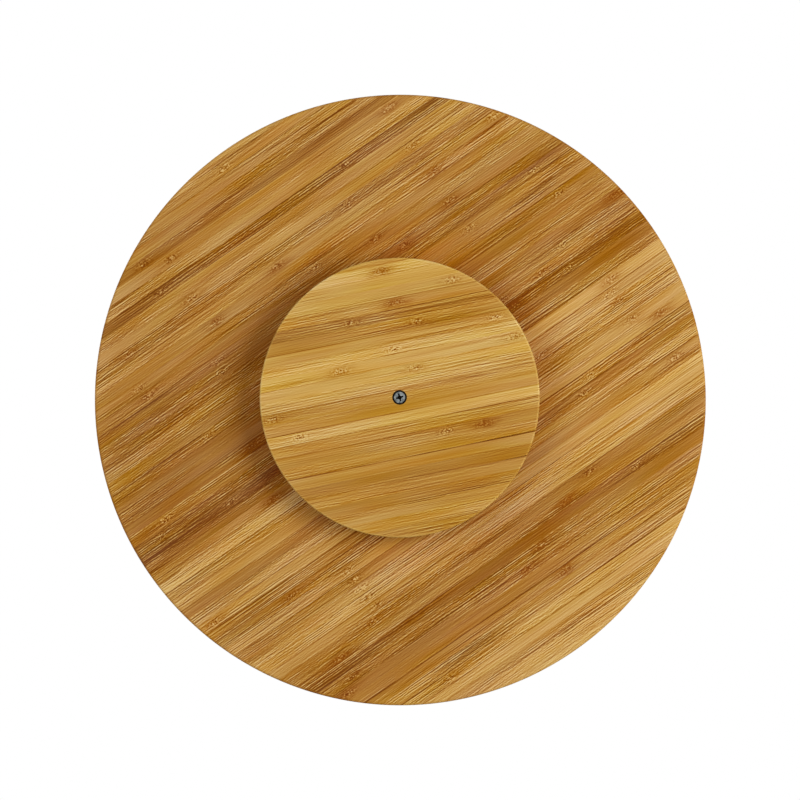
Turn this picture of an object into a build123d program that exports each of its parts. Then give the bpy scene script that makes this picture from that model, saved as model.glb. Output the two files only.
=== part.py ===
"""Lazy susan turntable: a round bamboo tray that spins on a smaller round bamboo base.

The tray rides on a ring of steel balls. The balls roll between two steel tracks let into the
facing sides of the boards, and a moulded cage keeps them evenly spaced. One countersunk screw
comes up through a bush in the base, ends in a threaded insert in the tray and holds the two
boards together. The origin is the centre of the base's underside, +Z is up, sizes are in mm.
"""

import os

from build123d import *

# Boards
tray_diameter = 350.0
tray_thickness = 16.0
tray_lower_round = 1.5
tray_upper_round = 2.5
base_diameter = 158.0
base_thickness = 15.0
base_round = 1.0
deck_gap = 4.0  # daylight between the base and the tray

# Ball race
ball_diameter = 8.0
ball_count = 16
ball_circle_diameter = 104.0
ball_clearance = 0.06  # ball to each track, along the axis
raceway_radius = 4.4
raceway_depth = 1.5
track_height = 3.0
track_chamfer = 0.4
track_side_clearance = 0.1  # track to each wall of its groove

# Ball cage
pocket_clearance = 0.15  # ball to its pocket, all round
pocket_wall = 1.5
cage_side_clearance = 0.6  # cage to each wall of the grooves
cage_track_clearance = 0.4  # cage to each track
cage_web_width = 5.0
cage_web_thickness = 2.4

# Pivot screw, a countersunk machine screw with a cross recess
screw_diameter = 4.0
screw_head_diameter = 7.0
screw_head_land = 0.3  # upright rim of the head
screw_head_sink = 0.6  # head below the base's underside
screw_tip_chamfer = 0.6
thread_engagement = 6.5  # screw tip above the tray's underside
recess_wing_width = 1.0
recess_edge = 1.1  # metal left between a wing and the head's rim
recess_floor = 0.25  # metal left between the recess and the neck
recess_tip_diameter = 1.2
recess_core_diameter = 2.2
recess_turn = -16.0  # degrees about +Z

# Pivot bush, pressed into the base
head_side_clearance = 0.65  # head to the bore's wall
head_seat_clearance = 0.1  # head's cone to the bush, square to the cone
bush_lip = 0.3  # flat ring outside the bush's seat
shank_clearance = 0.05  # screw's shank to the bush, radial
bush_flange_diameter = 14.0
bush_flange_thickness = 1.2

# Threaded insert, driven into the tray
insert_wall = 2.0
insert_length = 9.0
insert_barb_height = 0.3
insert_barb_count = 4
insert_flange_diameter = 14.0
insert_flange_thickness = 1.0
insert_drill_over = 1.0  # pilot hole deeper than the insert
thread_clearance = 0.02  # screw's thread to the insert, radial

# Thrust washer, between the bush and the insert
washer_diameter = 13.0
washer_bore_clearance = 0.15
end_play = 0.1  # washer to the bush, and washer to the insert

# Heights worked out from the stack
tray_floor = base_thickness + deck_gap
race_height = base_thickness + deck_gap / 2
ball_radius = ball_diameter / 2
raceway_bottom = race_height - ball_radius - ball_clearance
track_seat = raceway_bottom + raceway_depth - track_height
groove_depth = base_thickness - track_seat

# Radii worked out from what runs inside
ball_circle = ball_circle_diameter / 2
pocket_radius = ball_radius + pocket_clearance
boss_radius = pocket_radius + pocket_wall
groove_width = 2 * (boss_radius + cage_side_clearance)
track_width = groove_width - 2 * track_side_clearance
cage_height = 2 * (ball_radius + ball_clearance - raceway_depth - cage_track_clearance)

# The screw's head and what it turns in
shank_radius = screw_diameter / 2
head_radius = screw_head_diameter / 2
head_height = screw_head_land + head_radius - shank_radius
screw_neck = screw_head_sink + head_height
screw_tip = tray_floor + thread_engagement
recess_reach = head_radius - recess_edge
recess_depth = head_height - recess_floor
bore_radius = head_radius + head_side_clearance
bush_bore_radius = shank_radius + shank_clearance
seat_shift = head_seat_clearance * 2**0.5  # the clearance, measured along the axis
seat_radius = bore_radius - bush_lip
seat_bottom = screw_neck + seat_shift - (seat_radius - shank_radius)
seat_top = screw_neck + seat_shift - (bush_bore_radius - shank_radius)

# The insert
insert_bore_radius = shank_radius + thread_clearance
insert_radius = shank_radius + insert_wall
insert_end = tray_floor + insert_length
barb_pitch = insert_length / insert_barb_count

pieces = {}

# Base board, with the bore for the bush and the groove for the lower track
with BuildPart() as base_board:
    with BuildSketch():
        Circle(base_diameter / 2)
    extrude(amount=base_thickness)
    fillet(base_board.edges().filter_by(GeomType.CIRCLE), base_round)
    with BuildSketch(Plane.XY.offset(base_thickness)):
        Circle(ball_circle + groove_width / 2)
        Circle(ball_circle - groove_width / 2, mode=Mode.SUBTRACT)
    extrude(amount=-groove_depth, mode=Mode.SUBTRACT)
    Hole(bore_radius)
pieces["base_board"] = base_board

# Tray board, with the groove for the upper track and the pilot hole for the insert
with BuildPart() as tray_board:
    with BuildSketch(Plane.XY.offset(tray_floor)):
        Circle(tray_diameter / 2)
    extrude(amount=tray_thickness)
    rims = tray_board.edges().filter_by(GeomType.CIRCLE).sort_by(Axis.Z)
    fillet(rims[0], tray_lower_round)
    fillet(rims[-1], tray_upper_round)
    with BuildSketch(Plane.XY.offset(tray_floor)):
        Circle(ball_circle + groove_width / 2)
        Circle(ball_circle - groove_width / 2, mode=Mode.SUBTRACT)
    extrude(amount=groove_depth, mode=Mode.SUBTRACT)
    with BuildSketch(Plane.XY.offset(tray_floor)):
        Circle(insert_radius)
    extrude(amount=insert_length + insert_drill_over, mode=Mode.SUBTRACT)
pieces["tray_board"] = tray_board

# Lower track, a turned steel ring with a round-bottomed raceway
with BuildPart() as lower_track:
    with BuildSketch(Plane.XZ):
        with Locations((ball_circle, track_seat + track_height / 2)):
            Rectangle(track_width, track_height)
        with Locations((ball_circle, raceway_bottom + raceway_radius)):
            Circle(raceway_radius, mode=Mode.SUBTRACT)
    revolve(axis=Axis.Z)
    track_foot = lower_track.edges().filter_by(GeomType.CIRCLE).group_by(Axis.Z)[0]
    chamfer(track_foot, track_chamfer)
pieces["lower_track"] = lower_track

# Upper track, the same ring turned over
with BuildPart() as upper_track:
    mirror(lower_track.part, about=Plane.XY.offset(race_height))
pieces["upper_track"] = upper_track

# Ball cage, a flat web with a boss round each ball; the round pockets close over the balls
with BuildPart() as ball_cage:
    with BuildSketch(Plane.XY.offset(race_height - cage_web_thickness / 2)):
        Circle(ball_circle + cage_web_width / 2)
        Circle(ball_circle - cage_web_width / 2, mode=Mode.SUBTRACT)
    extrude(amount=cage_web_thickness)
    with BuildSketch(Plane.XY.offset(race_height - cage_height / 2)):
        with PolarLocations(ball_circle, ball_count):
            Circle(boss_radius)
    extrude(amount=cage_height)
    with Locations((0, 0, race_height)):
        with PolarLocations(ball_circle, ball_count):
            Sphere(pocket_radius, mode=Mode.SUBTRACT)
pieces["ball_cage"] = ball_cage

# Bearing balls, evenly spaced, the first one on +X
for index in range(ball_count):
    with BuildPart() as bearing_ball:
        with Locations(Vector(ball_circle, 0, race_height).rotate(Axis.Z, index * 360 / ball_count)):
            Sphere(ball_radius)
    pieces[f"bearing_ball_{index + 1:02d}"] = bearing_ball

# The cross recess: wings that taper to a point, as a driver's tip does
with BuildPart() as recess:
    with BuildSketch(Plane.XY.offset(screw_head_sink).rotated((0, 0, recess_turn))):
        Rectangle(2 * recess_reach, recess_wing_width)
        Rectangle(recess_wing_width, 2 * recess_reach)
        Circle(recess_core_diameter / 2)
    extrude(amount=recess_depth)
    with Locations((0, 0, screw_head_sink + recess_depth / 2)):
        Cone(recess_reach, recess_tip_diameter / 2, recess_depth, mode=Mode.INTERSECT)

# Pivot screw, head down, with its thread drawn as a plain shank
with BuildPart() as pivot_screw:
    with BuildSketch(Plane.XZ):
        with BuildLine():
            Polyline(
                (0, screw_head_sink),
                (head_radius, screw_head_sink),
                (head_radius, screw_head_sink + screw_head_land),
                (shank_radius, screw_neck),
                (shank_radius, screw_tip - screw_tip_chamfer),
                (shank_radius - screw_tip_chamfer, screw_tip),
                (0, screw_tip),
                close=True,
            )
        make_face()
    revolve(axis=Axis.Z)
    add(recess.part, mode=Mode.SUBTRACT)
pieces["pivot_screw"] = pivot_screw

# Pivot bush, a flanged sleeve with a countersunk seat for the screw's head
with BuildPart() as pivot_bush:
    with BuildSketch(Plane.XZ):
        with BuildLine():
            Polyline(
                (seat_radius, seat_bottom),
                (bore_radius, seat_bottom),
                (bore_radius, base_thickness),
                (bush_flange_diameter / 2, base_thickness),
                (bush_flange_diameter / 2, base_thickness + bush_flange_thickness),
                (bush_bore_radius, base_thickness + bush_flange_thickness),
                (bush_bore_radius, seat_top),
                close=True,
            )
        make_face()
    revolve(axis=Axis.Z)
pieces["pivot_bush"] = pivot_bush

# Thrust washer, filling the gap between the bush's flange and the insert's flange
with BuildPart() as thrust_washer:
    washer_floor = base_thickness + bush_flange_thickness + end_play
    washer_top = tray_floor - insert_flange_thickness - end_play
    with BuildSketch(Plane.XY.offset(washer_floor)):
        Circle(washer_diameter / 2)
        Circle(shank_radius + washer_bore_clearance, mode=Mode.SUBTRACT)
    extrude(amount=washer_top - washer_floor)
pieces["thrust_washer"] = thrust_washer

# Threaded insert, a flanged sleeve whose barbs grip the pilot hole
with BuildPart() as threaded_insert:
    with BuildSketch(Plane.XZ):
        with BuildLine():
            barbs = []
            for step in range(insert_barb_count):
                barb_floor = tray_floor + step * barb_pitch
                barbs.append((insert_radius, barb_floor))
                barbs.append((insert_radius - insert_barb_height, barb_floor + barb_pitch))
            Polyline(
                (insert_bore_radius, tray_floor - insert_flange_thickness),
                (insert_flange_diameter / 2, tray_floor - insert_flange_thickness),
                (insert_flange_diameter / 2, tray_floor),
                *barbs,
                (insert_bore_radius, insert_end),
                close=True,
            )
        make_face()
    revolve(axis=Axis.Z)
pieces["threaded_insert"] = threaded_insert

os.makedirs("parts", exist_ok=True)
for name, piece in pieces.items():
    piece.part.label = name
    export_step(piece.part, f"parts/{name}.step")
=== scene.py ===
"""Looks of a bamboo lazy susan turntable, seen from below as in the photograph.

Both boards are glued up from upright bamboo strips of one thickness. Each strip keeps its own
tone and its own knuckles, so the boards are meshes cut along their glue lines, and the bamboo
material reads what each strip is like from the mesh. Lengths are in metres unless a name says mm.
"""

import math
import random

import bmesh
import bpy
from mathutils import Matrix, Vector


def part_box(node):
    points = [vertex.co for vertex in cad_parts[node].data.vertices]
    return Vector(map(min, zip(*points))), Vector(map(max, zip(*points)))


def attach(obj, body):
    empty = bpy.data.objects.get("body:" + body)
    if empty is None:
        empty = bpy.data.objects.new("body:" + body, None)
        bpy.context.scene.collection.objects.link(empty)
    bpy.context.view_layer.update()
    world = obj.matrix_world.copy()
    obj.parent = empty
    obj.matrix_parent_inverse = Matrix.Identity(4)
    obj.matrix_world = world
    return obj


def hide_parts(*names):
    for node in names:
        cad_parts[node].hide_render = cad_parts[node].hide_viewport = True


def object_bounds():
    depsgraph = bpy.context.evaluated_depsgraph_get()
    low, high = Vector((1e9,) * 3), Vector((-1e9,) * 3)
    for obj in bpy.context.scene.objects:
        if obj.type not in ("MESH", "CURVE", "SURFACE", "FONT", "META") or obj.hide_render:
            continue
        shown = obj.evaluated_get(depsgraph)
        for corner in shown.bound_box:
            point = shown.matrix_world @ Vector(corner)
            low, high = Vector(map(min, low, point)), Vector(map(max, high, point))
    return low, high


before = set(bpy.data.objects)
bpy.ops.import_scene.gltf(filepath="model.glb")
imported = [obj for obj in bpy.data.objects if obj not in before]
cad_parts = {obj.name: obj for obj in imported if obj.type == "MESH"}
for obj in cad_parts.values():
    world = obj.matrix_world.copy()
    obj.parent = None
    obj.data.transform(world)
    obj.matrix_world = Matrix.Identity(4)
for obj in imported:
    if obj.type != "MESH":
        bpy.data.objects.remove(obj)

cad_box = [list(corner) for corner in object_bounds()]

MM = 0.001

# The boards' strips: one thickness for all, the way the grain runs and where the glue lines fall
STRIP_THICKNESS = 6.4 * MM
TRAY_GRAIN = math.radians(34.7)
TRAY_FIRST_LINE = 3.05 * MM
BASE_GRAIN = math.radians(11.4)
BASE_FIRST_LINE = 1.48 * MM
# A strip has its left and its right tone this far from its middle
STRIP_HALF_RUN_MM = 150.0

# The boards' edges and the cuts inside them
TRAY_LOWER_ROUND = 1.5 * MM
TRAY_UPPER_ROUND = 2.5 * MM
BASE_ROUND = 1.0 * MM
ROUND_STEPS = 6
BOARD_TURNS = 384
TRACK_PLAY = 0.1 * MM
PILOT_RADIUS = 4.0 * MM
PILOT_OVER = 1.0 * MM
BUSH_BORE_RADIUS = 4.15 * MM
# Points nearer than this are one point
SAME_PLACE = 1e-7
# A face lies flat if its normal's Z, up or down, is above the first, and stands upright below the second
FLAT_SLOPE = 0.999
UPRIGHT_SLOPE = 0.01

# Each board's colours from brown to pale, and how strongly its lines show
TRAY_TONES = ("#703905", "#8D5616", "#AA7530", "#C59851", "#DCB877")
TRAY_FIGURE = 1.0
BASE_TONES = ("#763E03", "#955E18", "#B17E2F", "#CAA152", "#DEBF7B")
BASE_FIGURE = 0.56
# How far along from brown to pale a strip stands
TONES = {"umber": 0.16, "brown": 0.26, "chestnut": 0.33, "amber": 0.39, "tawny": 0.46, "honey": 0.53,
         "gold": 0.6, "straw": 0.67, "cream": 0.73, "pale": 0.79}

# Bamboo's broad patterns: their size in mm along, across and through a strip, and their detail
BAMBOO_CLOUDS = {
    "drift": ((60, 10, 30), 1.0),
    "hue": ((45, 7, 20), 1.0),
    "streak": ((55, 2.6, 8), 0.0),
    "ragged": ((6, 0.7, 3), 1.0),
    "swirl": ((6, 3.5, 5), 1.0),
    "tick": ((1.0, 0.8, 1.5), 0.0),
    "patch": ((110, 14, 40), 0.0),
    "seam": ((22, 200, 200), 0.0),
    "dark_hair": ((70, 0.6, 1.3), 0.0),
    "pale_hair": ((38, 0.65, 1.1), 0.0),
}
# Its fine lines: their size in mm, and how much they count. Fibres are a tenth to a third of a
# millimetre wide; they are drawn two to six times as wide, so that a picture of the board shows them
BAMBOO_LINES = {
    "fibre": ((60, 0.56, 1.0), 0.6),
    "dash": ((9, 0.56, 0.9), 0.56),
    "speckle": ((1.7, 0.58, 0.9), 0.38),
}
# A line stands out from what lies this far to both sides of it
LINE_STEP_MM = 0.58
# Every noise swings round this value
NOISE_MIDDLE = 0.5
# Single dark and pale hairs: the noise at which one begins and is full, and how much it counts
HAIRS = {"dark_hair": (0.62, 0.68, -0.3), "pale_hair": (0.66, 0.72, 0.1)}
DRIFT_WEIGHT = 0.16
STREAK_WEIGHT = 0.17
# What wanders over a board: the noise from low to high, and the value at each of the two
LINES_WANDER = (0.36, 0.64, 0.4, 1.6)
HUE_WANDERS = (0.25, 0.75, 0.505, 0.495)
RICHNESS_WANDERS = (0.25, 0.75, 1.05, 0.95)
# A knuckle is a brown bruise, which fades to a share of itself over its length and has ragged ends,
# and a sharper curl in the middle of it, which pulls the lines aside and is full of ticks
BRUISE_MM = 8.5
BRUISE_FADE = 0.37
BRUISE_WEIGHT = -0.37
BRUISE_COLOUR = "#98520C"
BRUISE_DYE = 0.55
RAGGED_BY_BRUISE = 0.25
RAGGED_ENDS = (0.42, 0.7, 0.2, 1.0)
CURL_SHARPNESS = 3.5
CURL_PULL_MM = 4.0
SWAY_MM = 0.3
TICK_WEIGHT = 2.2
# A glue line is full up to the first distance from the joint and gone at the second, and it thins out
# in places: the noise there and elsewhere, and the share of its darkness that it keeps
GLUE_LINE_MM = (0.3, 0.8)
GLUE_STRETCHES = (0.35, 0.6)
GLUE_KEEPS = 0.6
GLUE_WEIGHT = -0.6
# The joints that don't stand out are dark by a number up to this one
QUIET_JOINT = 0.15
# The oiled surface: a satin sheen, rougher on the glue, with the lines faintly raised
BAMBOO_ROUGHNESS = 0.56
GLUE_ROUGHNESS = 0.64
BAMBOO_RELIEF = {"Strength": 0.3, "Distance": 0.06 * MM}
BAMBOO_SHEEN = {"IOR": 1.45, "Specular IOR Level": 0.06}
# Painted shade on the tray's underside close to the base, where the base's shadow falls: darker, richer
# and redder, full at the first distance from the axis and gone at the second
PAINTED_SHADE_RING = (80 * MM, 108 * MM)
PAINTED_SHADE_WEIGHT = -0.02
PAINTED_SHADE_RICHER = 0.02
PAINTED_SHADE_HUE = -0.007
# Each board has dried out and paled towards its rim
DRY_EDGE = 12 * MM
TRAY_DRY_WEIGHT = 0.06
BASE_DRY_WEIGHT = 0.03
# How the round edge and the upright rim of each board are toned: above 0 pale, below 0 dark
# The base's pale edge is wear and painted highlight, the tray's dark edge painted shade, the dark rims
# end grain and painted shade
TRAY_END_GRAIN_AND_PAINTED_SHADE = (-0.3, -0.9)
BASE_WEAR_AND_PAINTED_LIGHT = (0.8, -0.9)
WEAR_AND_SHADING_WEIGHT = 0.12
# How strongly the lines show on an edge and a rim
RIM_FIGURE = 0.5
# What a face of a board looks at, as the mesh tells it to the material
RIM_FACING = -1.0
TOP_FACING = 0.0
UNDER_FACING = 1.0

# The tray's strips from the photograph's upper left edge to its lower right one: the tone at the
# left end, the tone at the right end, then each knuckle's place in mm from the middle and how dark
# it is, below 0 where it is paler than its strip
TRAY_STRIPS = (
    ("straw", "straw"),
    ("gold", "gold", (-8, 0.1)),
    ("honey", "gold"),
    ("honey", "honey"),
    ("amber", "amber", (-77, 0.4)),
    ("gold", "honey", (-62, 0.3), (90, 0.5)),
    ("honey", "straw"),
    ("chestnut", "chestnut", (-78, 0.1), (50, 0.2)),
    ("honey", "gold"),
    ("gold", "straw", (-66, 0.5), (88, 0.4)),
    ("tawny", "honey", (-113, 0.5), (40, 0.4)),
    ("gold", "gold", (-15, 0.6), (137, 0.4)),
    ("honey", "gold", (-62, 0.6), (90, 0.7)),
    ("honey", "honey", (3, 0.2), (-120, 0.1)),
    ("tawny", "honey", (-117, 0.4), (40, 0.5)),
    ("amber", "honey", (-73, 0.3), (88, 0.6)),
    ("amber", "amber", (-75, -0.1), (52, 0.5)),
    ("amber", "amber", (137, -0.2)),
    ("honey", "honey", (88, 0.2)),
    ("tawny", "honey"),
    ("amber", "tawny", (-103, -0.2), (142, -0.3)),
    ("amber", "tawny"),
    ("amber", "honey"),
    ("amber", "tawny", (-85, 0.9), (168, 0.8)),
    ("tawny", "tawny", (-150, -0.1), (127, -0.3)),
    ("brown", "honey", (-157, 0.1), (108, 0.3), (80, 0.4)),
    ("umber", "brown", (-113, -0.4), (122, -0.1), (84, 0.9)),
    ("amber", "amber"),
    ("honey", "honey", (-92, 0.8)),
    ("pale", "pale", (138, 0.6)),
    ("gold", "straw", (133, 0.0)),
    ("straw", "straw", (135, 0.5), (80, 0.5)),
    ("tawny", "gold"),
    ("gold", "straw", (135, 0.4)),
    ("straw", "straw", (-160, 0.4), (150, 0.7)),
    ("honey", "honey", (97, -0.2)),
    ("tawny", "tawny", (-115, 0.5), (88, -0.2)),
    ("straw", "straw", (-80, 0.4)),
    ("honey", "gold", (-80, 0.3), (143, 0.4)),
    ("straw", "pale", (-80, 0.2)),
    ("cream", "cream", (-80, 0.3)),
    ("gold", "cream", (-78, 0.3)),
    ("tawny", "tawny", (-85, 0.3), (65, 0.5)),
    ("tawny", "honey", (-112, 0.8), (45, 0.9)),
    ("brown", "amber", (90, 0.2)),
    ("amber", "tawny", (-112, 0.5), (18, 0.7)),
    ("amber", "honey", (-120, 0.5), (5, 0.6)),
    ("tawny", "honey"),
    ("tawny", "gold", (22, 0.8)),
    ("gold", "honey"),
    ("straw", "pale", (-68, 0.5)),
    ("straw", "pale"),
    ("gold", "gold"),
    ("straw", "pale"),
    ("pale", "straw"),
)
TRAY_FIRST_STRIP = -28
# How dark the glue shows in the joints that stand out, by the strip that starts there; below 0 it
# is pale
TRAY_JOINTS = {-26: 0.45, -25: 0.25, -23: -0.25, -21: 0.35, -20: -0.35, -19: 0.3, -18: 0.4, -17: 0.25,
               -15: 0.25, -1: -0.15, 1: 0.3, 2: 0.5, 4: 0.35, 7: 0.7, 8: 0.4, 9: 0.3, 10: 0.25, 11: 0.55,
               12: 0.35, 13: 0.45, 14: 0.25, 16: 0.25, 20: 1.1, 22: 1.5, 23: 0.7, 25: 0.35}

# The base's strips, listed the same way
BASE_STRIPS = (
    ("honey", "honey"),
    ("pale", "pale", (4, 0.9)),
    ("straw", "straw"),
    ("straw", "gold", (42, 0.4)),
    ("straw", "tawny", (8, 0.8)),
    ("brown", "honey", (-18, 0.4)),
    ("tawny", "honey", (18, 0.5)),
    ("gold", "gold", (62, 0.2)),
    ("pale", "pale", (2, 0.1)),
    ("pale", "straw", (-30, 0.5), (70, 0.3)),
    ("straw", "pale", (11, 0.4)),
    ("straw", "straw"),
    ("honey", "gold", (-72, 0.4)),
    ("honey", "gold"),
    ("straw", "pale", (-60, 0.0)),
    ("gold", "honey"),
    ("honey", "tawny", (44, 0.8), (22, 0.2)),
    ("honey", "honey"),
    ("honey", "honey"),
    ("amber", "amber"),
    ("honey", "tawny"),
    ("tawny", "amber"),
    ("honey", "honey"),
    ("honey", "gold"),
    ("tawny", "tawny"),
)
BASE_FIRST_STRIP = -13
BASE_JOINTS = {-9: 0.35, -8: 0.25, -6: 0.6, -5: 0.6, -3: 0.35, -1: 0.5, 1: 0.8, 2: 0.3, 3: 0.3, 5: 0.9,
               7: 0.35}
# Joints of the base that have opened: where the crack starts, and its width where it meets the rim
BASE_OPEN_JOINTS = ((5, 28 * MM, 0.8 * MM), (7, 47 * MM, 0.5 * MM))
# A crack is this deep, ends at a height up the rim and is painted dark inside as shade. It begins past
# its tip, is full after a third of its run, and strays to both sides by a fifth of its width
CRACK_DEPTH = 0.45 * MM
CRACK_HEIGHT = 9.0 * MM
CRACK_SHADE = -0.8
CRACK_TIP = 1e-4
CRACK_TAPER = 3
CRACK_WANDER = 5
# The mesh's marks for a strip's knuckles; one that a strip doesn't have lies far off the board
KNUCKLES = ("knuckle_one", "knuckle_two", "knuckle_three")
NO_KNUCKLE_MM = 1000.0
# Each strip's patterns are shifted by a number up to this one, so that no two strips are alike
STRIP_SHIFT = 40

# The metals and plastics of the pivot and the ball race: how much the roughness varies over the noise
# range, and the relief of the surface
NOISE_RANGE = (0.3, 0.7)
TURNED_VARIES = 0.06
TURNED_RELIEF = {"Strength": 0.25, "Distance": 0.02 * MM}
SMEAR_RANGE = (0.4, 0.7)
SMEAR_DULLS = 2
MOULDED_VARIES = 0.05
MOULDED_RELIEF = {"Strength": 0.2, "Distance": 0.05 * MM}
PLASTIC_IOR = 1.48
# The screw's plate: its mottles, and the near-black painted shade in its recess and round its head's rim:
# how deep and how near the rim that shade begins and is full
ZINC_TONES = ("#3A454B", "#898D8B")
ZINC_MOTTLE = 1.1 * MM
ZINC_MOTTLE_RANGE = (0.35, 0.65)
ZINC_ROUGHNESS = (0.3, 0.48)
ZINC_RELIEF = {"Strength": 0.3, "Distance": 0.03 * MM}
SCREW_SHADE_COLOUR = "#140E08"
RECESS_SHADE_DEPTHS = (0.1 * MM, 0.5 * MM)
HEAD_RIM_SHADE = (0.55 * MM, 0.2 * MM)

# The photograph's view: straight at the underside, a little from its lower edge
VIEW_DISTANCE = 1.3
VIEW_TILT = math.radians(1.95)
VIEW_SIDE = math.radians(0.55)
VIEW_AIM = (0.05 * MM, 0.83 * MM)
VIEW_LENS_MM = 102.27
SENSOR_MM = 36.0

# The stage: a floor just under the base, which pales to white between two distances from the middle,
# the reach and the darkest level of the painted shadow on it, and the soft light from all round
FLOOR_DROP = 0.4 * MM
FLOOR_SIZE = 8.0
FLOOR_COLOUR = "#F2F1EE"
FLOOR_PALES = (0.3, 1.5)
SHADOW_REACH = 0.25
SHADOW_LEVEL = 0.25
SHADOW_SAMPLES = 32
AMBIENT = 0.27
WHITE = (1, 1, 1, 1)
# The soft lights: place, side of the square and power in watts; all of them aim at the origin
LAMPS = {
    "key_below": ((1.2, -0.03, -1.15), 1.0, 23),
    "fill_below": ((-1.2, -0.15, -1.2), 1.2, 12.5),
    "key_above": ((-0.9, -0.8, 1.5), 1.0, 26),
    "fill_above": ((1.2, 0.6, 1.2), 1.2, 8),
}


def linear(colour):
    """Turns an sRGB hex colour into the linear colour that the shaders take."""
    channels = [int(colour[place:place + 2], 16) / 255 for place in (1, 3, 5)]
    curve = [c / 12.92 if c <= 0.04045 else ((c + 0.055) / 1.055) ** 2.4 for c in channels]
    return (*curve, 1.0)


def add(tree, kind, inputs=None, **settings):
    """Adds a node: settings are its own properties, inputs holds values or other nodes' outputs."""
    made = tree.nodes.new(kind)
    for key, value in settings.items():
        setattr(made, key, value)
    for key, value in (inputs or {}).items():
        if isinstance(value, bpy.types.NodeSocket):
            tree.links.new(value, made.inputs[key])
        else:
            made.inputs[key].default_value = value
    return made


def sockets(values, first=1):
    """Inputs for a node's sockets in order, such as a Map Range's low and high and the values at them."""
    return dict(enumerate(values, first))


def new_material(name):
    """Starts a material with an empty node tree."""
    made = bpy.data.materials.new(name)
    made.use_nodes = True
    made.node_tree.nodes.clear()
    return made, made.node_tree


def axis_distance(tree, place):
    """How far a point lies from the turntable's axis."""
    flat = add(tree, "ShaderNodeVectorMath", {0: place, 1: (1, 1, 0)}, operation="MULTIPLY").outputs[0]
    return add(tree, "ShaderNodeVectorMath", {0: flat}, operation="LENGTH").outputs["Value"]


def knuckles_near(tree, along, middle):
    """How near a point is to its strip's knuckles: a wide bruise, and a curl in the middle of it. The
    marks' third numbers come along: the wear, end grain and painted light and shade of edges, rims and
    cracks, a joint's darkness and where the face looks."""
    bruise = 0.0
    curl = 0.0
    extras = []
    side = add(tree, "ShaderNodeMath", {0: middle, 1: middle}, operation="MULTIPLY").outputs[0]
    for label in KNUCKLES:
        mark = add(tree, "ShaderNodeAttribute", attribute_name=label).outputs["Vector"]
        spot, depth, extra = add(tree, "ShaderNodeSeparateXYZ", {0: mark}).outputs
        away = add(tree, "ShaderNodeMath", {0: along, 1: spot}, operation="SUBTRACT").outputs[0]
        reach = add(tree, "ShaderNodeMath", {0: away, 1: BRUISE_MM}, operation="DIVIDE").outputs[0]
        far = add(tree, "ShaderNodeMath", {0: reach, 1: reach, 2: side},
                  operation="MULTIPLY_ADD").outputs[0]
        bell = add(tree, "ShaderNodeMath", {0: BRUISE_FADE, 1: far}, operation="POWER").outputs[0]
        bruise = add(tree, "ShaderNodeMath", {0: bell, 1: depth, 2: bruise},
                     operation="MULTIPLY_ADD").outputs[0]
        narrow = add(tree, "ShaderNodeMath", {0: bell, 1: CURL_SHARPNESS}, operation="POWER").outputs[0]
        curl = add(tree, "ShaderNodeMath", {0: curl, 1: narrow}, operation="MAXIMUM").outputs[0]
        extras.append(extra)
    return bruise, curl, *extras


def cloud(tree, place, shift, size, detail=0.0):
    """A soft pattern of the given size in mm, shifted so that each strip has its own."""
    scale = tuple(1 / length for length in size)
    spot = add(tree, "ShaderNodeVectorMath", {0: place, 1: scale, 2: shift},
               operation="MULTIPLY_ADD").outputs[0]
    return add(tree, "ShaderNodeTexNoise", {"Vector": spot, "Scale": 1.0, "Detail": detail}).outputs[0]


def fine_lines(tree, turned, shift, clouds, bend):
    """A strip's single hairs and its fibres, which bend aside by a length in mm: pale above 0, dark
    below."""
    lines = 0.0
    for label, (low, high, weight) in HAIRS.items():
        hair = add(tree, "ShaderNodeMapRange", {0: clouds[label], 1: low, 2: high}).outputs[0]
        lines = add(tree, "ShaderNodeMath", {0: hair, 1: weight, 2: lines},
                    operation="MULTIPLY_ADD").outputs[0]
    aside = add(tree, "ShaderNodeCombineXYZ", {1: bend, 2: bend}).outputs[0]
    bent = add(tree, "ShaderNodeVectorMath", {0: turned, 1: aside}, operation="ADD").outputs[0]
    beside = [add(tree, "ShaderNodeVectorMath", {0: bent, 1: (0, step, 0)}, operation="ADD").outputs[0]
              for step in (-LINE_STEP_MM, LINE_STEP_MM)]
    for size, weight in BAMBOO_LINES.values():
        sides = sockets([cloud(tree, spot, shift, size) for spot in beside], first=0)
        around = add(tree, "ShaderNodeMath", sides, operation="ADD").outputs[0]
        line = add(tree, "ShaderNodeMath", {0: around, 1: -1 / len(sides),
                                            2: cloud(tree, bent, shift, size)},
                   operation="MULTIPLY_ADD").outputs[0]
        lines = add(tree, "ShaderNodeMath", {0: line, 1: weight, 2: lines},
                    operation="MULTIPLY_ADD").outputs[0]
    return lines


def glue_at(tree, inside, joint, stretches):
    """The thin line of glue where a strip starts, and how dark the glue is along it."""
    line = add(tree, "ShaderNodeMapRange", {0: inside, **sockets(GLUE_LINE_MM), 3: 1.0,
                                            4: 0.0}).outputs[0]
    thin = add(tree, "ShaderNodeMath", {0: joint, 1: GLUE_KEEPS}, operation="MULTIPLY").outputs[0]
    seam = add(tree, "ShaderNodeMapRange", {0: stretches, **sockets(GLUE_STRETCHES), 3: thin,
                                            4: joint}).outputs[0]
    glue = add(tree, "ShaderNodeMath", {0: line, 1: seam}, operation="MULTIPLY").outputs[0]
    return line, glue


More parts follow.
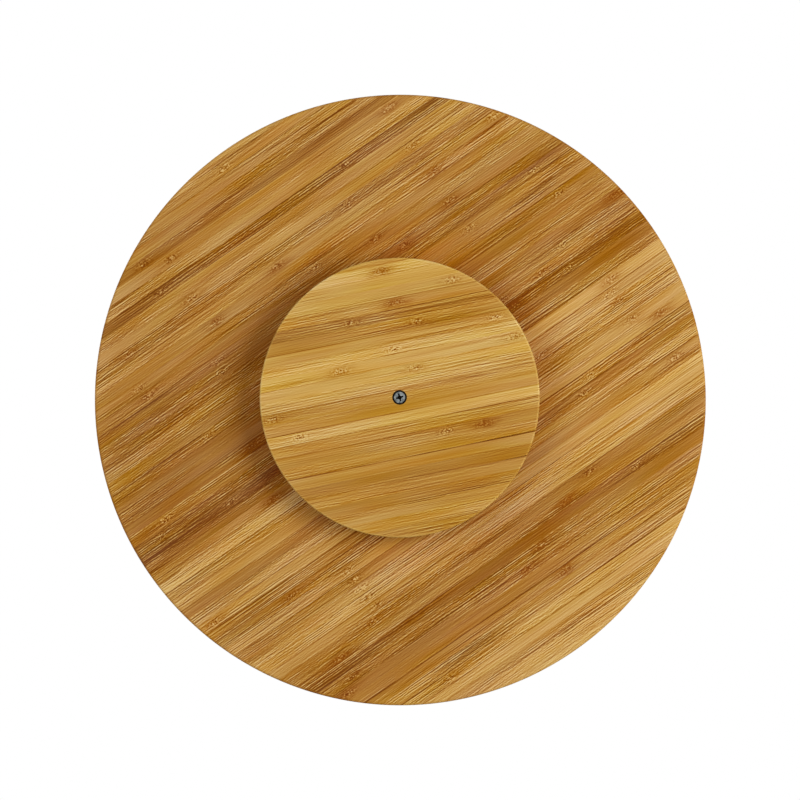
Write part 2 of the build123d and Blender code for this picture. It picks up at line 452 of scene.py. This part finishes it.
def bamboo(name, grain, first_line, tones, figure, rim, dry_weight, shade_ring=None):
    """Side-pressed bamboo, steamed brown or natural, planed, sanded and oiled: fine fibres along each
    strip, a ragged bruise and a curl at each knuckle, thin glue lines, and a low satin sheen."""
    made, tree = new_material(name)
    place = add(tree, "ShaderNodeTexCoord").outputs["Object"]
    turned = add(tree, "ShaderNodeMapping", {"Vector": place, "Rotation": (0, 0, grain),
                                             "Scale": (1 / MM, 1 / MM, 1 / MM)}).outputs[0]
    along, across, _ = add(tree, "ShaderNodeSeparateXYZ", {0: turned}).outputs
    strip = add(tree, "ShaderNodeAttribute", attribute_name="strip").outputs["Vector"]
    tone_left, tone_right, seed = add(tree, "ShaderNodeSeparateXYZ", {0: strip}).outputs
    shift = add(tree, "ShaderNodeCombineXYZ", {0: seed, 1: seed, 2: seed}).outputs[0]

    # Where a point lies in its strip, from the glue line to the next one, and from -1 to 1
    step = add(tree, "ShaderNodeMath", {0: across, 1: first_line / MM}, operation="SUBTRACT").outputs[0]
    inside = add(tree, "ShaderNodeMath", {0: step, 1: STRIP_THICKNESS / MM},
                 operation="FLOORED_MODULO").outputs[0]
    middle = add(tree, "ShaderNodeMapRange", {0: inside, 2: STRIP_THICKNESS / MM, 3: -1.0,
                                              4: 1.0}).outputs[0]
    bruise, curl, wear_and_shading, joint, facing = knuckles_near(tree, along, middle)
    clouds = {}
    for label, (size, detail) in BAMBOO_CLOUDS.items():
        clouds[label] = cloud(tree, turned, shift, size, detail)
    swings = {}
    for label in ("drift", "streak", "swirl", "tick"):
        swings[label] = add(tree, "ShaderNodeMath", {0: clouds[label], 1: NOISE_MIDDLE},
                            operation="SUBTRACT").outputs[0]

    # The tone drifts along a strip, and each hair and line adds its own; a knuckle bends the lines
    tone = add(tree, "ShaderNodeMapRange", {0: along, 1: -STRIP_HALF_RUN_MM, 2: STRIP_HALF_RUN_MM,
                                            3: tone_left, 4: tone_right}).outputs[0]
    pull = add(tree, "ShaderNodeMath", {0: curl, 1: CURL_PULL_MM, 2: SWAY_MM},
               operation="MULTIPLY_ADD").outputs[0]
    bend = add(tree, "ShaderNodeMath", {0: swings["swirl"], 1: pull}, operation="MULTIPLY").outputs[0]
    lines = fine_lines(tree, turned, shift, clouds, bend)
    lively = add(tree, "ShaderNodeMapRange", {0: clouds["patch"], **sockets(LINES_WANDER)}).outputs[0]
    shown = add(tree, "ShaderNodeMapRange", {0: facing, 1: RIM_FACING, 2: TOP_FACING, 3: RIM_FIGURE,
                                             4: lively}).outputs[0]
    lined = add(tree, "ShaderNodeMath", {0: lines, 1: shown}, operation="MULTIPLY").outputs[0]
    parts = [(swings["drift"], DRIFT_WEIGHT), (swings["streak"], STREAK_WEIGHT), (lined, figure)]

    # A curl has ticks, a bruise has ragged ends, and the glue line is a fraction of a millimetre wide
    ticks = add(tree, "ShaderNodeMath", {0: swings["tick"], 1: curl}, operation="MULTIPLY").outputs[0]
    uneven = add(tree, "ShaderNodeMath", {0: bruise, 1: RAGGED_BY_BRUISE, 2: clouds["ragged"]},
                 operation="MULTIPLY_ADD").outputs[0]
    edged = add(tree, "ShaderNodeMapRange", {0: uneven, **sockets(RAGGED_ENDS)}).outputs[0]
    ragged = add(tree, "ShaderNodeMath", {0: edged, 1: bruise}, operation="MULTIPLY").outputs[0]
    glue_line, glue = glue_at(tree, inside, joint, clouds["seam"])
    # Edges, rims and cracks add their wear, end grain and painted light and shade
    parts += [(ticks, TICK_WEIGHT), (ragged, BRUISE_WEIGHT), (glue, GLUE_WEIGHT), (wear_and_shading, WEAR_AND_SHADING_WEIGHT)]

    # The rim has paled, and the tray's underside has painted shade close to the base
    radius = axis_distance(tree, place)
    dry = add(tree, "ShaderNodeMapRange", {0: radius, 1: rim - DRY_EDGE, 2: rim}).outputs[0]
    parts.append((dry, dry_weight))
    # Painted shade near the base, on the underside faces only
    if shade_ring:
        base_shade = add(tree, "ShaderNodeMapRange", {0: radius, **sockets(shade_ring), 3: facing,
                                                 4: 0.0}, interpolation_type="SMOOTHSTEP").outputs[0]
        parts.append((base_shade, PAINTED_SHADE_WEIGHT))
    for part, weight in parts:
        tone = add(tree, "ShaderNodeMath", {0: part, 1: weight, 2: tone},
                   operation="MULTIPLY_ADD").outputs[0]
    ramp = add(tree, "ShaderNodeValToRGB", {0: tone})
    stops = ramp.color_ramp.elements
    while len(stops) < len(tones):
        stops.new(len(stops) / len(tones))
    for number, (stop, colour) in enumerate(zip(stops, tones)):
        stop.position = number / (len(tones) - 1)
        stop.color = linear(colour)

    # The hue wanders between golden and reddish, most of all in a bruise
    hue = add(tree, "ShaderNodeMapRange", {0: clouds["hue"], **sockets(HUE_WANDERS)}).outputs[0]
    rich = add(tree, "ShaderNodeMapRange", {0: clouds["drift"], **sockets(RICHNESS_WANDERS)}).outputs[0]
    # Near the base the painted shade is also richer and redder
    if shade_ring:
        hue = add(tree, "ShaderNodeMath", {0: base_shade, 1: PAINTED_SHADE_HUE, 2: hue},
                  operation="MULTIPLY_ADD").outputs[0]
        rich = add(tree, "ShaderNodeMath", {0: base_shade, 1: PAINTED_SHADE_RICHER, 2: rich},
                   operation="MULTIPLY_ADD").outputs[0]
    dyed = add(tree, "ShaderNodeHueSaturation", {"Hue": hue, "Saturation": rich,
                                                 "Color": ramp.outputs[0]}).outputs[0]
    red = add(tree, "ShaderNodeMath", {0: ragged, 1: BRUISE_DYE}, operation="MULTIPLY").outputs[0]
    colour = add(tree, "ShaderNodeMix", {0: red, 6: dyed, 7: linear(BRUISE_COLOUR)},
                 data_type="RGBA").outputs[2]

    rough = add(tree, "ShaderNodeMapRange", {0: glue_line, 3: BAMBOO_ROUGHNESS,
                                             4: GLUE_ROUGHNESS}).outputs[0]
    relief = add(tree, "ShaderNodeBump", {"Height": tone, **BAMBOO_RELIEF}).outputs[0]
    wood = add(tree, "ShaderNodeBsdfPrincipled", {"Base Color": colour, "Roughness": rough,
                                                  "Normal": relief, **BAMBOO_SHEEN})
    add(tree, "ShaderNodeOutputMaterial", {"Surface": wood.outputs[0]})
    return made


def round_corner(radius_in, radius_out, height_from, height_to, rising):
    """Points of a quarter round on a board's rim, from the flat face to the upright or back."""
    points = []
    for step in range(ROUND_STEPS + 1):
        turn = step / ROUND_STEPS * math.pi / 2
        if rising:
            reach, lift = math.sin(turn), 1 - math.cos(turn)
        else:
            reach, lift = math.cos(turn), math.sin(turn)
        points.append((radius_in + (radius_out - radius_in) * reach,
                       height_from + (height_to - height_from) * lift))
    return points


def turn_profile(profile):
    """Turns a profile of (radius, height) points round the axis into a mesh."""
    mesh = bmesh.new()
    rings = []
    for radius, height in profile:
        if radius == 0:
            rings.append([mesh.verts.new((0, 0, height))])
            continue
        ring = []
        for step in range(BOARD_TURNS):
            angle = 2 * math.pi * step / BOARD_TURNS
            ring.append(mesh.verts.new((radius * math.cos(angle), radius * math.sin(angle), height)))
        rings.append(ring)
    for lower, upper in zip(rings, rings[1:]):
        for step in range(BOARD_TURNS):
            after = (step + 1) % BOARD_TURNS
            corners = [lower[step % len(lower)], lower[after % len(lower)],
                       upper[after % len(upper)], upper[step % len(upper)]]
            mesh.faces.new(list(dict.fromkeys(corners)))
    bmesh.ops.recalc_face_normals(mesh, faces=mesh.faces)
    return mesh


def cut_into_strips(mesh, grain, first_line, first_strip, strips, glue_joints, wears_and_shading):
    """Cuts a board along its glue lines and writes each strip's tones, knuckles and joint on its
    faces."""
    across = Vector((math.sin(grain), math.cos(grain), 0))
    for number in range(1, len(strips)):
        line = first_line + (first_strip + number) * STRIP_THICKNESS
        bmesh.ops.bisect_plane(mesh, geom=mesh.verts[:] + mesh.edges[:] + mesh.faces[:],
                               dist=SAME_PLACE, plane_co=across * line, plane_no=across)
    marks = mesh.faces.layers.float_vector
    strip_layer, *knuckle_layers = [marks.new(label) for label in ("strip", *KNUCKLES)]
    edge_wear_and_shading, rim_grain_and_shade = wears_and_shading
    chance = random.Random(len(strips))
    seeds = [chance.uniform(0, STRIP_SHIFT) for _ in strips]
    joints = [glue_joints.get(first_strip + number, chance.uniform(0, QUIET_JOINT))
              for number in range(len(strips))]
    for face in mesh.faces:
        offset = face.calc_center_median().dot(across) - first_line
        number = int(math.floor(offset / STRIP_THICKNESS)) - first_strip
        number = min(max(number, 0), len(strips) - 1)
        left, right, *knuckles = strips[number]
        knuckles += [(NO_KNUCKLE_MM, 0.0)] * (len(KNUCKLES) - len(knuckles))
        face[strip_layer] = (TONES[left], TONES[right], seeds[number])
        slope = abs(face.normal.z)
        face.smooth = slope < FLAT_SLOPE
        if face.smooth:
            # A round edge and an upright rim carry wear, end grain and painted light and shade
            wear_and_shading = edge_wear_and_shading if slope > UPRIGHT_SLOPE else rim_grain_and_shade
            facing = RIM_FACING
        else:
            wear_and_shading = 0.0
            facing = UNDER_FACING if face.normal.z < 0 else TOP_FACING
        for layer, knuckle, extra in zip(knuckle_layers, knuckles, (wear_and_shading, joints[number], facing)):
            face[layer] = (*knuckle, extra)


def open_joint(mesh, grain, line, start, gape):
    """Opens a glue joint of the base from a place along it to the rim: a ragged crack that widens
    outwards."""
    along = Vector((math.cos(grain), -math.sin(grain), 0))
    across = Vector((math.sin(grain), math.cos(grain), 0))
    radius = max(vert.co.x for vert in mesh.verts)
    floor = min(vert.co.z for vert in mesh.verts)
    run = math.sqrt(radius ** 2 - line ** 2) - start
    for side in (-gape / 2, gape / 2):
        near = []
        for face in mesh.faces:
            beside = (face.calc_center_median().dot(across) - line) * math.copysign(1, side)
            if 0 < beside < STRIP_THICKNESS and max(vert.co.dot(along) for vert in face.verts) > start:
                near.append(face)
        edges = [edge for face in near for edge in face.edges]
        verts = [vert for face in near for vert in face.verts]
        pieces = list(dict.fromkeys(verts + edges + near))
        bmesh.ops.bisect_plane(mesh, geom=pieces, dist=SAME_PLACE,
                               plane_co=along * start + across * line,
                               plane_no=across * run - along * side)
    mesh.normal_update()
    chance = random.Random(len(mesh.verts))
    wear_and_shading_layer = mesh.faces.layers.float_vector[KNUCKLES[0]]
    inwards = {}
    for vert in mesh.verts:
        reach = (vert.co.dot(along) - start) / run
        under = vert.co.z < floor + SAME_PLACE
        outside = under or vert.co.xy.length > radius - BASE_ROUND - SAME_PLACE
        if abs(vert.co.dot(across) - line) < SAME_PLACE and reach > CRACK_TIP and outside:
            fade = max(0, 1 - (vert.co.z - floor) / CRACK_HEIGHT) * min(1, CRACK_TAPER * reach)
            sideways = across * chance.uniform(-gape / CRACK_WANDER, gape / CRACK_WANDER)
            inwards[vert] = (sideways - vert.normal * CRACK_DEPTH) * fade
    for vert, move in inwards.items():
        vert.co += move
        for face in vert.link_faces:
            if abs(face.calc_center_median().dot(across) - line) < gape / 2:
                face.smooth = False
                # The crack's faces are painted dark, as shade inside it
                face[wear_and_shading_layer].z = CRACK_SHADE
    mesh.normal_update()


def board(name, mesh, material, body, node):
    """Makes a board's object from its mesh and lets it stand for the board of the frame."""
    data = bpy.data.meshes.new(name)
    mesh.to_mesh(data)
    mesh.free()
    data.materials.append(material)
    made = bpy.data.objects.new(name, data)
    bpy.context.scene.collection.objects.link(made)
    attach(made, body)
    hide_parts(node)


def groove(track):
    """The inner and outer radius of the groove that a track lies in."""
    ball_low, ball_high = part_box("bearing_ball_01")
    ball_circle = (ball_low.x + ball_high.x) / 2
    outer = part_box(track)[1].x + TRACK_PLAY
    return 2 * ball_circle - outer, outer


def make_tray():
    """The tray: a groove and a pilot hole underneath, a small round below and a larger one on top."""
    low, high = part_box("tray_board")
    radius = min(high.x, high.y, -low.x, -low.y)
    inner, outer = groove("upper_track")
    groove_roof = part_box("upper_track")[1].z
    pilot_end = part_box("threaded_insert")[1].z + PILOT_OVER
    profile = [(0, pilot_end), (PILOT_RADIUS, pilot_end), (PILOT_RADIUS, low.z),
               (inner, low.z), (inner, groove_roof), (outer, groove_roof), (outer, low.z)]
    profile += round_corner(radius - TRAY_LOWER_ROUND, radius, low.z, low.z + TRAY_LOWER_ROUND, True)
    profile += round_corner(radius - TRAY_UPPER_ROUND, radius, high.z - TRAY_UPPER_ROUND, high.z, False)
    profile.append((0, high.z))
    mesh = turn_profile(profile)
    cut_into_strips(mesh, TRAY_GRAIN, TRAY_FIRST_LINE, TRAY_FIRST_STRIP, TRAY_STRIPS,
                    TRAY_JOINTS, TRAY_END_GRAIN_AND_PAINTED_SHADE)
    wood = bamboo("steamed_bamboo_oiled", TRAY_GRAIN, TRAY_FIRST_LINE, TRAY_TONES, TRAY_FIGURE, radius,
                  TRAY_DRY_WEIGHT, PAINTED_SHADE_RING)
    board("tray_of_bamboo_strips", mesh, wood, "tray", "tray_board")


def make_base():
    """The base: a bore right through, a groove on top and a thin round on both rims."""
    low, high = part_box("base_board")
    radius = min(high.x, high.y, -low.x, -low.y)
    inner, outer = groove("lower_track")
    groove_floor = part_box("lower_track")[0].z
    rim = round_corner(radius - BASE_ROUND, radius, low.z, low.z + BASE_ROUND, True)
    rim += round_corner(radius - BASE_ROUND, radius, high.z - BASE_ROUND, high.z, False)
    bore = BUSH_BORE_RADIUS
    profile = [(bore, high.z), (bore, low.z), *rim, (outer, high.z), (outer, groove_floor),
               (inner, groove_floor), (inner, high.z), (bore, high.z)]
    mesh = turn_profile(profile)
    bmesh.ops.remove_doubles(mesh, verts=mesh.verts, dist=SAME_PLACE)
    cut_into_strips(mesh, BASE_GRAIN, BASE_FIRST_LINE, BASE_FIRST_STRIP, BASE_STRIPS,
                    BASE_JOINTS, BASE_WEAR_AND_PAINTED_LIGHT)
    for joint, start, gape in BASE_OPEN_JOINTS:
        open_joint(mesh, BASE_GRAIN, BASE_FIRST_LINE + joint * STRIP_THICKNESS, start, gape)
    wood = bamboo("natural_bamboo_oiled", BASE_GRAIN, BASE_FIRST_LINE, BASE_TONES, BASE_FIGURE, radius,
                  BASE_DRY_WEIGHT)
    board("base_of_bamboo_strips", mesh, wood, "base", "base_board")


def turned_metal(name, colours, roughness, line_mm):
    """A metal turned on a lathe: rings of fine tool lines round the axis, and a soft gleam across
    them."""
    made, tree = new_material(name)
    place = add(tree, "ShaderNodeTexCoord").outputs["Object"]
    radius = axis_distance(tree, place)
    rings = add(tree, "ShaderNodeTexNoise", {"W": radius, "Scale": 1 / (line_mm * MM), "Detail": 2.0},
                noise_dimensions="1D").outputs[0]
    shade = add(tree, "ShaderNodeMix", {0: rings, 6: linear(colours[0]), 7: linear(colours[1])},
                data_type="RGBA").outputs[2]
    rough = add(tree, "ShaderNodeMapRange", {0: rings, **sockets(NOISE_RANGE),
                                             3: roughness - TURNED_VARIES,
                                             4: roughness + TURNED_VARIES}).outputs[0]
    relief = add(tree, "ShaderNodeBump", {"Height": rings, **TURNED_RELIEF}).outputs[0]
    shell = add(tree, "ShaderNodeBsdfPrincipled", {"Base Color": shade, "Metallic": 1.0,
                                                   "Roughness": rough, "Normal": relief})
    add(tree, "ShaderNodeOutputMaterial", {"Surface": shell.outputs[0]})
    return made


def polished_metal(name, colours, roughness, smear_mm):
    """A metal ground and tumbled bright: a clear mirror with the faint smears that grease leaves."""
    made, tree = new_material(name)
    place = add(tree, "ShaderNodeTexCoord").outputs["Object"]
    smear = add(tree, "ShaderNodeTexNoise", {"Vector": place, "Scale": 1 / (smear_mm * MM),
                                             "Detail": 3.0}).outputs[0]
    shade = add(tree, "ShaderNodeMix", {0: smear, 6: linear(colours[0]), 7: linear(colours[1])},
                data_type="RGBA").outputs[2]
    rough = add(tree, "ShaderNodeMapRange", {0: smear, **sockets(SMEAR_RANGE), 3: roughness,
                                             4: roughness * SMEAR_DULLS}).outputs[0]
    shell = add(tree, "ShaderNodeBsdfPrincipled", {"Base Color": shade, "Metallic": 1.0,
                                                   "Roughness": rough})
    add(tree, "ShaderNodeOutputMaterial", {"Surface": shell.outputs[0]})
    return made


def zinc_plate(name, head_face, head_radius):
    """Steel with a bright zinc plate, passivated: mottled bluish grey, with near-black painted shade
    round the head's rim and wherever the surface lies deeper than its face, as in the recess."""
    made, tree = new_material(name)
    place = add(tree, "ShaderNodeTexCoord").outputs["Object"]
    mottle = add(tree, "ShaderNodeTexNoise", {"Vector": place, "Scale": 1 / ZINC_MOTTLE, "Detail": 3.0,
                                              "Roughness": 0.6}).outputs[0]
    spread = add(tree, "ShaderNodeMapRange", {0: mottle, **sockets(ZINC_MOTTLE_RANGE)}).outputs[0]
    dark, light = [linear(colour) for colour in ZINC_TONES]
    plate = add(tree, "ShaderNodeMix", {0: spread, 6: dark, 7: light}, data_type="RGBA").outputs[2]
    height = add(tree, "ShaderNodeSeparateXYZ", {0: place}).outputs["Z"]
    # Painted shade in the recess, where the surface lies deeper than the head's face
    recess_shade = add(tree, "ShaderNodeMapRange", {0: height, 1: head_face + RECESS_SHADE_DEPTHS[0],
                                            2: head_face + RECESS_SHADE_DEPTHS[1]}).outputs[0]
    radius = axis_distance(tree, place)
    # Painted shade round the head's rim, next to the gap to the hole
    rim = add(tree, "ShaderNodeMapRange", {0: radius, 1: head_radius - HEAD_RIM_SHADE[0],
                                           2: head_radius - HEAD_RIM_SHADE[1]}).outputs[0]
    screw_shade = add(tree, "ShaderNodeMath", {0: recess_shade, 1: rim}, operation="MAXIMUM").outputs[0]
    shade = add(tree, "ShaderNodeMix", {0: screw_shade, 6: plate, 7: linear(SCREW_SHADE_COLOUR)},
                data_type="RGBA").outputs[2]
    rough = add(tree, "ShaderNodeMapRange", {0: mottle, **sockets(NOISE_RANGE),
                                             **sockets(ZINC_ROUGHNESS, first=3)}).outputs[0]
    relief = add(tree, "ShaderNodeBump", {"Height": mottle, **ZINC_RELIEF}).outputs[0]
    shell = add(tree, "ShaderNodeBsdfPrincipled", {"Base Color": shade, "Metallic": 1.0,
                                                   "Roughness": rough, "Normal": relief})
    add(tree, "ShaderNodeOutputMaterial", {"Surface": shell.outputs[0]})
    return made


def moulded_plastic(name, colours, roughness, grain_mm, shine=0.5):
    """A moulded engineering plastic: matt, slightly mottled, with the fine texture of its mould."""
    made, tree = new_material(name)
    place = add(tree, "ShaderNodeTexCoord").outputs["Object"]
    grain = add(tree, "ShaderNodeTexNoise", {"Vector": place, "Scale": 1 / (grain_mm * MM),
                                             "Detail": 2.0}).outputs[0]
    shade = add(tree, "ShaderNodeMix", {0: grain, 6: linear(colours[0]), 7: linear(colours[1])},
                data_type="RGBA").outputs[2]
    rough = add(tree, "ShaderNodeMapRange", {0: grain, **sockets(NOISE_RANGE),
                                             3: roughness - MOULDED_VARIES,
                                             4: roughness + MOULDED_VARIES}).outputs[0]
    relief = add(tree, "ShaderNodeBump", {"Height": grain, **MOULDED_RELIEF}).outputs[0]
    shell = add(tree, "ShaderNodeBsdfPrincipled", {"Base Color": shade, "Roughness": rough,
                                                   "Normal": relief, "IOR": PLASTIC_IOR,
                                                   "Specular IOR Level": shine})
    add(tree, "ShaderNodeOutputMaterial", {"Surface": shell.outputs[0]})
    return made


def dress_frame():
    """Gives each carried-over piece of the pivot and the ball race its finish."""
    screw_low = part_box("pivot_screw")[0]
    track_steel = turned_metal("turned_steel", ("#B9BABC", "#A2A4A7"), roughness=0.28, line_mm=0.25)
    ball_steel = polished_metal("polished_chrome_steel", ("#CACCCF", "#BCBFC2"), roughness=0.07,
                                smear_mm=2.0)
    finishes = {
        "pivot_screw": zinc_plate("zinc_plated_steel", screw_low.z, -screw_low.x),
        # The bush is brown acetal, and its near-black tone also stands in for the shade in the hole round
        # the screw head
        "pivot_bush": moulded_plastic("brown_acetal_painted_hole_shade", ("#25170B", "#1A0F06"), roughness=0.6,
                                      grain_mm=0.4, shine=0.15),
        "threaded_insert": turned_metal("turned_brass", ("#C9A050", "#B58C3E"), roughness=0.25,
                                        line_mm=0.2),
        "thrust_washer": moulded_plastic("natural_acetal_punched", ("#DEDCD6", "#D2CFC8"),
                                         roughness=0.42, grain_mm=0.5),
        "ball_cage": moulded_plastic("natural_nylon_moulded", ("#E6E0D2", "#DAD3C2"), roughness=0.5,
                                     grain_mm=0.4),
        "lower_track": track_steel,
        "upper_track": track_steel,
    }
    for node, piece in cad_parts.items():
        finish = ball_steel if node.startswith("bearing_ball") else finishes.get(node)
        if finish:
            piece.data.materials.clear()
            piece.data.materials.append(finish)


def make_floor():
    """A pale floor that glows where it shows from above, with the turntable's soft shadow painted on it
    by occlusion; it pales to white far out, and lets the view and the light from below pass."""
    made, tree = new_material("pale_floor")
    seen = add(tree, "ShaderNodeLightPath").outputs["Is Camera Ray"]
    behind = add(tree, "ShaderNodeNewGeometry").outputs["Backfacing"]
    front = add(tree, "ShaderNodeMath", {0: 1.0, 1: behind}, operation="SUBTRACT").outputs[0]
    shown = add(tree, "ShaderNodeMath", {0: seen, 1: front}, operation="MULTIPLY").outputs[0]
    place = add(tree, "ShaderNodeTexCoord").outputs["Object"]
    away = add(tree, "ShaderNodeVectorMath", {0: place}, operation="LENGTH").outputs["Value"]
    far = add(tree, "ShaderNodeMapRange", {0: away, **sockets(FLOOR_PALES)},
              interpolation_type="SMOOTHSTEP").outputs[0]
    colour = add(tree, "ShaderNodeMix", {0: far, 6: linear(FLOOR_COLOUR), 7: WHITE},
                 data_type="RGBA").outputs[2]
    # The shadow is painted: the glowing floor darkens where the turntable hides its sky
    open_sky = add(tree, "ShaderNodeAmbientOcclusion", {"Distance": SHADOW_REACH},
                   samples=SHADOW_SAMPLES).outputs["AO"]
    shade = add(tree, "ShaderNodeMapRange", {0: open_sky, 3: SHADOW_LEVEL, 4: 1.0}).outputs[0]
    clear = add(tree, "ShaderNodeBsdfTransparent").outputs[0]
    paint = add(tree, "ShaderNodeEmission", {"Color": colour, "Strength": shade}).outputs[0]
    mixed = add(tree, "ShaderNodeMixShader", {0: shown, 1: clear, 2: paint}).outputs[0]
    add(tree, "ShaderNodeOutputMaterial", {"Surface": mixed})
    data = bpy.data.meshes.new("floor")
    half = FLOOR_SIZE / 2
    low = cad_box[0][2] - FLOOR_DROP
    data.from_pydata([(-half, -half, low), (half, -half, low), (half, half, low), (-half, half, low)],
                     [], [(0, 1, 2, 3)])
    data.materials.append(made)
    floor = bpy.data.objects.new("floor", data)
    bpy.context.scene.collection.objects.link(floor)


def make_world():
    """A white surround for what looks at it, and a plain soft light for the rest."""
    world = bpy.data.worlds.new("studio")
    bpy.context.scene.world = world
    world.use_nodes = True
    tree = world.node_tree
    tree.nodes.clear()
    path = add(tree, "ShaderNodeLightPath").outputs
    seen = path["Is Camera Ray"]
    for kind in ("Is Glossy Ray", "Is Transmission Ray"):
        seen = add(tree, "ShaderNodeMath", {0: seen, 1: path[kind]}, operation="MAXIMUM").outputs[0]
    level = add(tree, "ShaderNodeMapRange", {0: seen, 3: AMBIENT, 4: 1.0}).outputs[0]
    sky = add(tree, "ShaderNodeBackground", {"Color": WHITE, "Strength": level}).outputs[0]
    add(tree, "ShaderNodeOutputWorld", {"Surface": sky})


def softbox(name, place, size, power):
    """A square soft light that aims at the origin and doesn't show itself."""
    data = bpy.data.lights.new(name, "AREA")
    data.shape = "SQUARE"
    data.size = size
    data.energy = power
    made = bpy.data.objects.new(name, data)
    made.location = place
    made.rotation_euler = (-Vector(place)).to_track_quat("-Z", "Y").to_euler()
    made.visible_camera = False
    bpy.context.scene.collection.objects.link(made)


def make_camera():
    """The photograph's camera: under the turntable, with the picture's right along +X and its top
    along -Y."""
    data = bpy.data.cameras.new("photograph")
    data.lens = VIEW_LENS_MM
    data.sensor_width = SENSOR_MM
    made = bpy.data.objects.new("photograph", data)
    aim = Vector((*VIEW_AIM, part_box("tray_board")[0].z))
    way = Vector((math.sin(VIEW_SIDE), math.sin(VIEW_TILT), -math.cos(VIEW_TILT))).normalized()
    made.location = aim + way * VIEW_DISTANCE
    right = Vector((0, -1, 0)).cross(way).normalized()
    made.rotation_euler = Matrix((right, way.cross(right), way)).transposed().to_euler()
    bpy.context.scene.collection.objects.link(made)
    bpy.context.scene.camera = made


make_tray()
make_base()
dress_frame()
make_floor()
make_world()
for lamp, settings in LAMPS.items():
    softbox(lamp, *settings)
make_camera()
bpy.context.scene.view_settings.view_transform = "Standard"
